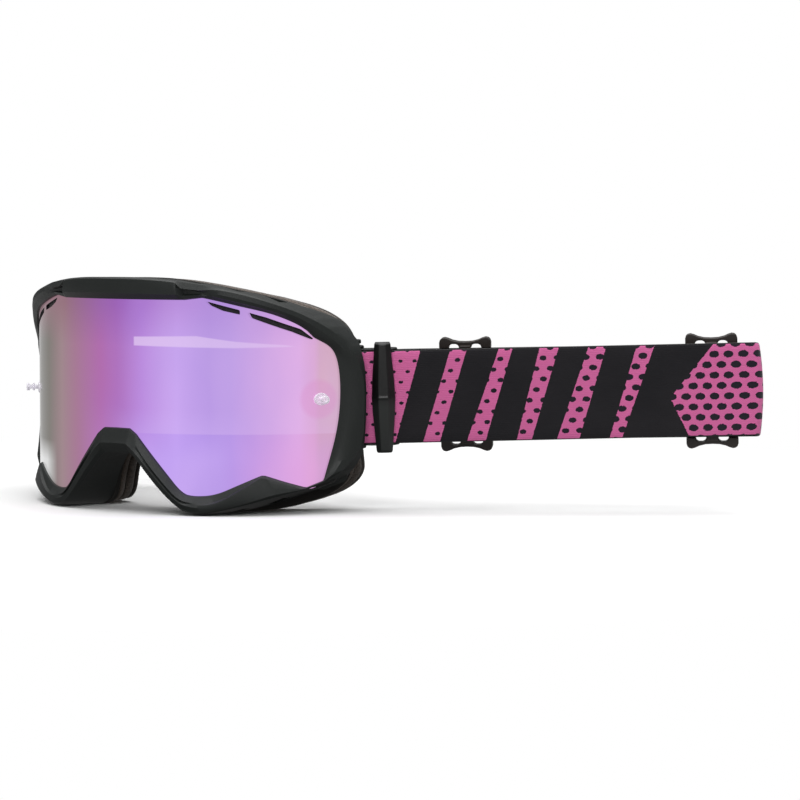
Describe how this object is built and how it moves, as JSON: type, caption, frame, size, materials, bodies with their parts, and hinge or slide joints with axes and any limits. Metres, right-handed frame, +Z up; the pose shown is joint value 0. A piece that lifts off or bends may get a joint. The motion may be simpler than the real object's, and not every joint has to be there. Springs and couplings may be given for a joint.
{
  "type": "motorcycle goggles",
  "caption": "Off-road riding goggles with a mirrored wrap lens, vented frame, layered face foam, hinged strap outriggers and an adjustable printed elastic strap.",
  "frame": {"origin": "centre of the lens's front surface, level with the two tear-off posts", "axes": "+X to the wearer's left, -Y is the direction the lens faces, +Z up"},
  "size_m": [0.3295, 0.1654, 0.1012],
  "materials": {
    "frame_shell": "satin moulded, black with a faint green cast",
    "soft_frame": "matte thermoplastic rubber",
    "lens_film": "purple to magenta mirror coating",
    "gasket": "closed-cell foam",
    "clear_post": "clear",
    "foam_dark": "open-cell foam, brown black",
    "fleece": "fleece",
    "filter_foam": "coarse open-cell foam",
    "outrigger_plastic": "satin moulded",
    "steel_pin": "turned",
    "strap_print": "elastic webbing, black with pink woven shards and dots",
    "silicone": "gloss silicone",
    "slider_plastic": "brown black moulded"
  },
  "bodies": {
    "goggles": {"frame": "frame_shell", "face_frame": "soft_frame", "lens": "lens_film", "lens_gasket": "gasket", "tearoff_post_left": "clear_post", "tearoff_post_right": "clear_post", "post_clip_left": "clear_post", "post_clip_right": "clear_post", "foam_firm": "foam_dark", "foam_soft": "foam_dark", "foam_fleece": "fleece", "vent_foam_top": "filter_foam", "lens_vent_foam": "filter_foam", "vent_foam_bottom": "filter_foam", "hinge_pin_left": "steel_pin", "hinge_pin_right": "steel_pin", "strap_short_across": "strap_print"},
    "left_outrigger": {"outrigger_left": "outrigger_plastic", "keeper_bar_left": "outrigger_plastic", "strap_long": "strap_print", "strap_short_rear": "strap_print", "grip_lines": "silicone"},
    "right_outrigger": {"outrigger_right": "outrigger_plastic", "keeper_bar_right": "outrigger_plastic", "strap_short_end": "strap_print"},
    "front_slider": {"slider_front": "slider_plastic"},
    "rear_slider": {"slider_rear": "slider_plastic"}
  },
  "joints": [
    {"name": "left_hinge", "type": "hinge", "parent": "goggles", "child": "left_outrigger", "pos_m": [0.082, 0.0629, 0], "axis": [0, -0.0401, 0.9992], "range_deg": [-4, 28]},
    {"name": "right_hinge", "type": "hinge", "parent": "goggles", "child": "right_outrigger", "pos_m": [-0.082, 0.0629, 0], "axis": [0, -0.0401, 0.9992], "range_deg": [-4, 28]},
    {"name": "front_slide", "type": "slide", "parent": "left_outrigger", "child": "front_slider", "axis": [0.878, 0.4783, 0.0192], "range_m": [-0.006, 0.041]},
    {"name": "rear_slide", "type": "slide", "parent": "left_outrigger", "child": "rear_slider", "axis": [0.878, 0.4783, 0.0192], "range_m": [-0.03, 0.004]}
  ]
}
